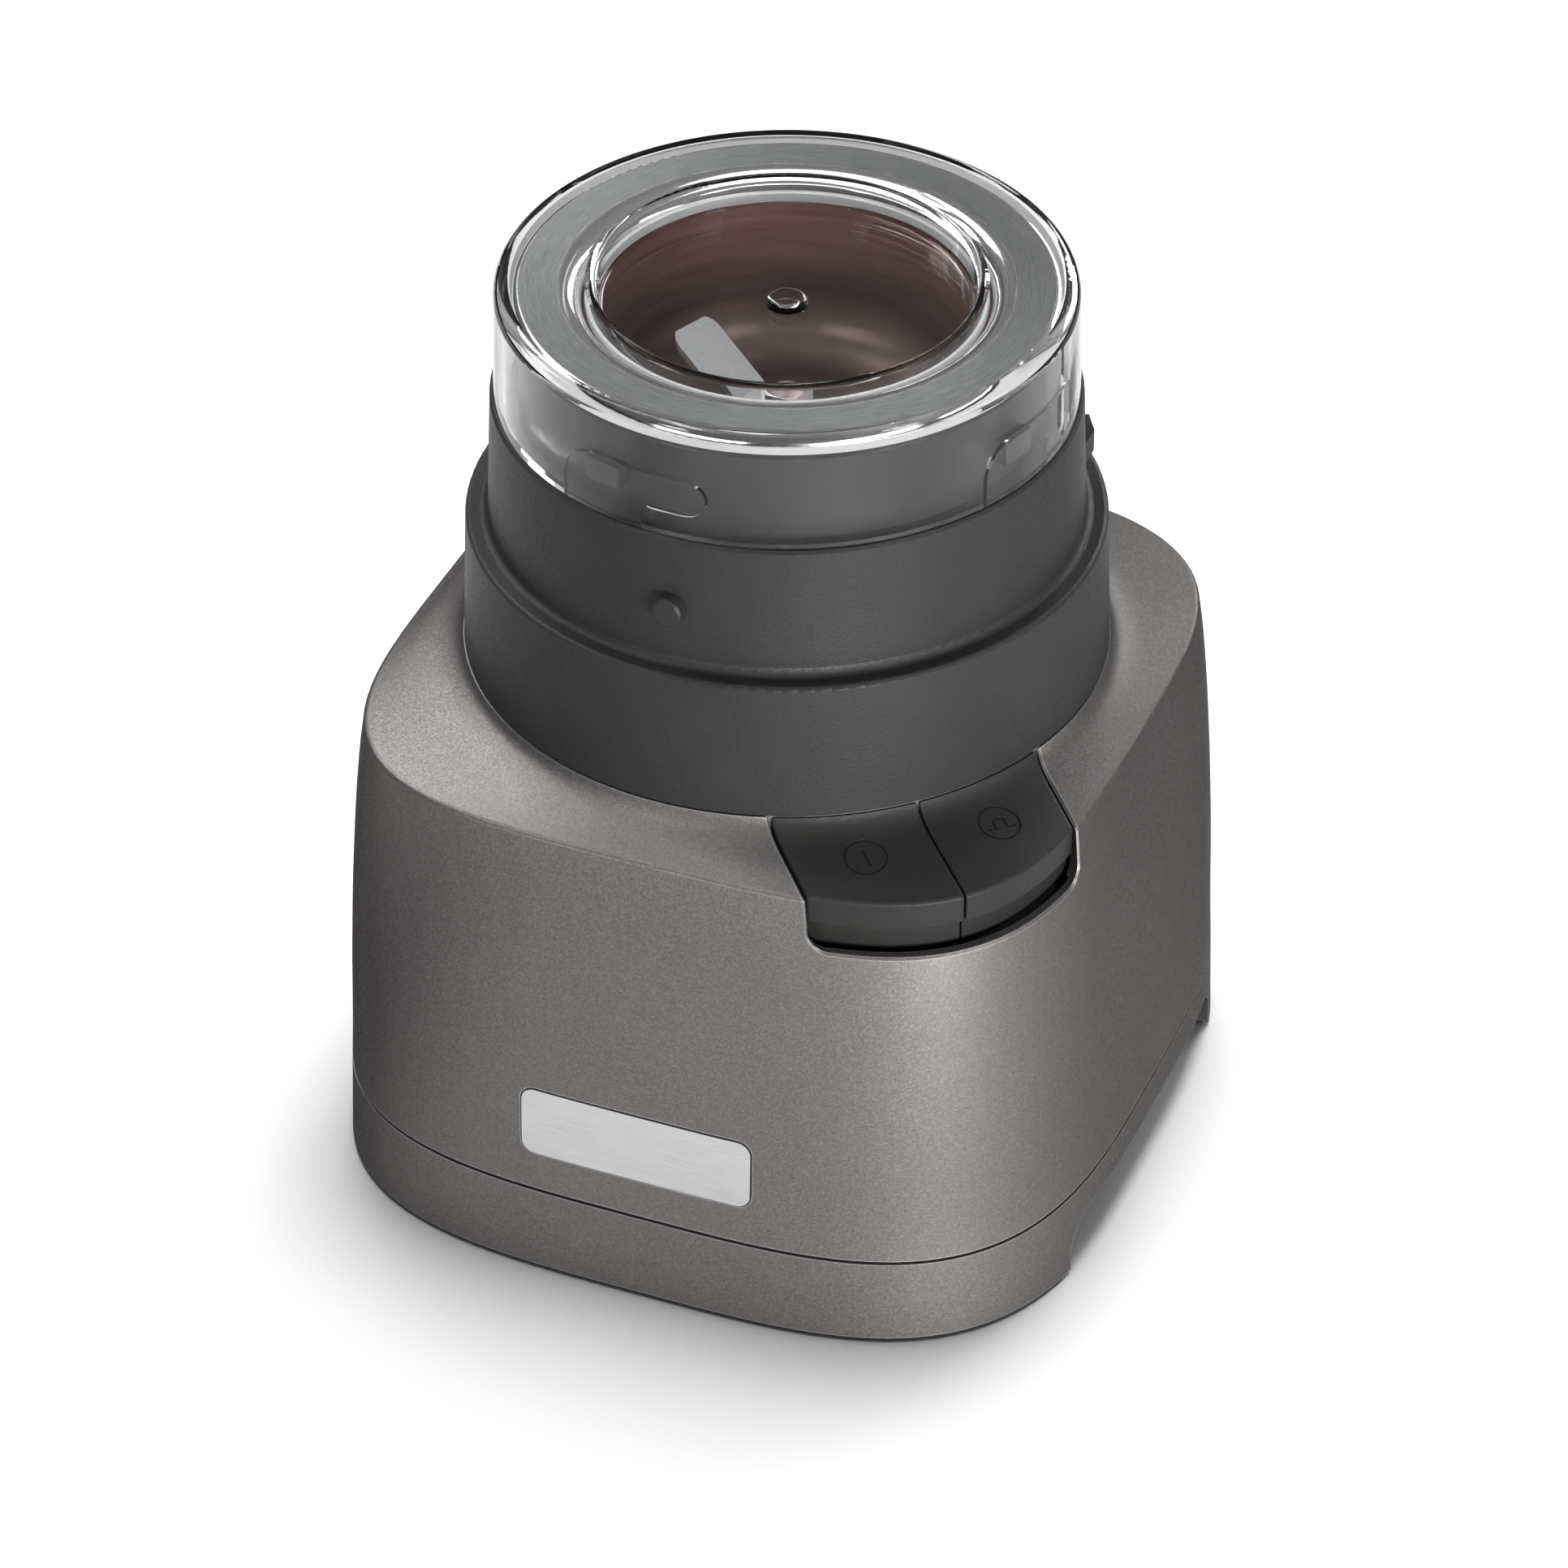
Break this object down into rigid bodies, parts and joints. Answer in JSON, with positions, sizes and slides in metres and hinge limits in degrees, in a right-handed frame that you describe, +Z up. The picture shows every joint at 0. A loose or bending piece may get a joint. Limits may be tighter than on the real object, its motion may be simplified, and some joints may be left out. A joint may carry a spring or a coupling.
{
  "type": "mini chopper",
  "caption": "Compact electric mini chopper: soft-square motor base with paddle buttons, a twist-on steel-bowl grinding mill with a spinning blade and a clear twist-off lid.",
  "frame": {"origin": "on the table under the axis of the mill, at the level of the undersides of the feet", "axes": "+Z up along the mill axis, -Y towards the badge on the front face, +X to the right; the buttons stand in the +X -Y corner"},
  "size_m": [0.1692, 0.17, 0.201],
  "materials": {
    "metallic_grey": "warm grey metallic paint with fine flakes on a moulded shell",
    "black_plastic": "plain black moulding",
    "charcoal_plastic": "charcoal moulding with a fine spark texture",
    "key_plastic": "dark charcoal moulding with a fine grain",
    "clear_plastic": "clear polished moulding",
    "clear_silicone": "pale translucent silicone",
    "dark_rubber": "dark soft rubber",
    "badge_aluminium": "brushed",
    "bowl_steel": "circular brushed, polished at the mouth",
    "blade_steel": "ground",
    "shaft_steel": "turned",
    "zinc_steel": "zinc plated",
    "spring_steel": "bright spring strip",
    "bearing_steel": "ground",
    "lamination_steel": "stacked laminations, varnished edge",
    "copper_wire": "enamelled wire",
    "commutator_copper": "turned copper bars",
    "brass_sheet": "bent sheet",
    "bronze": "sintered bush",
    "bracket_alloy": "die cast",
    "carbon": "pressed carbon",
    "board_laminate": "printed circuit laminate",
    "fan_plastic": "glass-filled moulding",
    "dog_plastic": "hard natural moulding",
    "plunger_plastic": "small moulding",
    "magnet": "plated magnet"
  },
  "bodies": {
    "base": {"upper_housing": "metallic_grey", "lower_housing": "metallic_grey", "base_plate": "black_plastic", "rubber_feet": "dark_rubber", "base_screws": "zinc_steel", "badge_plate": "badge_aluminium", "cord_grommet": "dark_rubber", "button_well": "black_plastic", "pivot_pins": "zinc_steel", "on_spring": "spring_steel", "pulse_spring": "spring_steel", "switch_board": "board_laminate", "microswitches": "black_plastic", "drive_seat": "charcoal_plastic", "seat_cap": "charcoal_plastic", "shaft_seal": "dark_rubber", "reed_switch": "black_plastic", "stator_core": "lamination_steel", "field_coils": "copper_wire", "lower_bracket": "bracket_alloy", "upper_bracket": "bracket_alloy", "lower_bearing": "bearing_steel", "upper_bearing": "bearing_steel", "brush_plate": "black_plastic", "brush_holders": "brass_sheet", "carbon_brushes": "carbon", "motor_bolts": "zinc_steel", "motor_mounts": "dark_rubber", "mount_screws": "zinc_steel"},
    "rotor": {"motor_shaft": "shaft_steel", "rotor_core": "lamination_steel", "rotor_windings": "copper_wire", "commutator": "commutator_copper", "cooling_fan": "fan_plastic", "drive_dog": "dog_plastic"},
    "on_key": {"on_button": "key_plastic"},
    "pulse_key": {"pulse_button": "key_plastic"},
    "on_pin": {"on_plunger": "plunger_plastic"},
    "pulse_pin": {"pulse_plunger": "plunger_plastic"},
    "interlock": {"interlock_ring": "black_plastic", "ring_magnet": "magnet"},
    "mill": {"mill_housing": "charcoal_plastic", "grinding_bowl": "bowl_steel", "bowl_gasket": "clear_silicone", "mill_base_cover": "black_plastic", "cover_screws": "zinc_steel", "spindle_bush": "bronze", "spindle_seal": "dark_rubber"},
    "cutter": {"spindle": "shaft_steel", "driven_dog": "dog_plastic", "blade": "blade_steel", "blade_nut": "blade_steel"},
    "seal_ring": {"lid_seal": "clear_silicone"},
    "cover_lid": {"lid": "clear_plastic"}
  },
  "joints": [
    {"name": "on_button_press", "type": "hinge", "parent": "base", "child": "on_key", "pos_m": [0.05127, -0.05127, 0.1025], "axis": [0.7071, 0.7071, 0], "range_deg": [0, 5], "stiffness_Nm_per_rad": 0.25, "springref_deg": -5.73, "deforming": ["on_spring"]},
    {"name": "pulse_button_press", "type": "hinge", "parent": "base", "child": "pulse_key", "pos_m": [0.05127, -0.05127, 0.1025], "axis": [0.7071, 0.7071, 0], "range_deg": [0, 5], "stiffness_Nm_per_rad": 0.25, "springref_deg": -5.73, "deforming": ["pulse_spring"]},
    {"name": "on_plunger_slide", "type": "slide", "parent": "base", "child": "on_pin", "axis": [0, 0, -1], "range_m": [0, 0.0006]},
    {"name": "pulse_plunger_slide", "type": "slide", "parent": "base", "child": "pulse_pin", "axis": [0, 0, -1], "range_m": [0, 0.0006]},
    {"name": "motor_spin", "type": "hinge", "parent": "base", "child": "rotor", "pos_m": [0, 0, 0.06], "axis": [0, 0, 1], "continuous": true},
    {"name": "mill_twist", "type": "hinge", "parent": "base", "child": "interlock", "pos_m": [0, 0, 0.125], "axis": [0, 0, 1], "range_deg": [-20, 0]},
    {"name": "mill_lift", "type": "slide", "parent": "interlock", "child": "mill", "axis": [0, 0, 1], "range_m": [0, 0.06]},
    {"name": "blade_spin", "type": "hinge", "parent": "mill", "child": "cutter", "pos_m": [0, 0, 0.16], "axis": [0, 0, 1], "continuous": true},
    {"name": "lid_lift", "type": "slide", "parent": "mill", "child": "seal_ring", "axis": [0, 0, 1], "range_m": [0, 0.045]},
    {"name": "lid_twist", "type": "hinge", "parent": "seal_ring", "child": "cover_lid", "pos_m": [0, 0, 0.19], "axis": [0, 0, 1], "range_deg": [-17, 0]}
  ],
  "couplings": [
    {"joint": "on_plunger_slide", "follows": "on_button_press", "m_per_rad": 0.0055},
    {"joint": "pulse_plunger_slide", "follows": "pulse_button_press", "m_per_rad": 0.0055},
    {"joint": "blade_spin", "follows": "motor_spin", "ratio": 1}
  ]
}
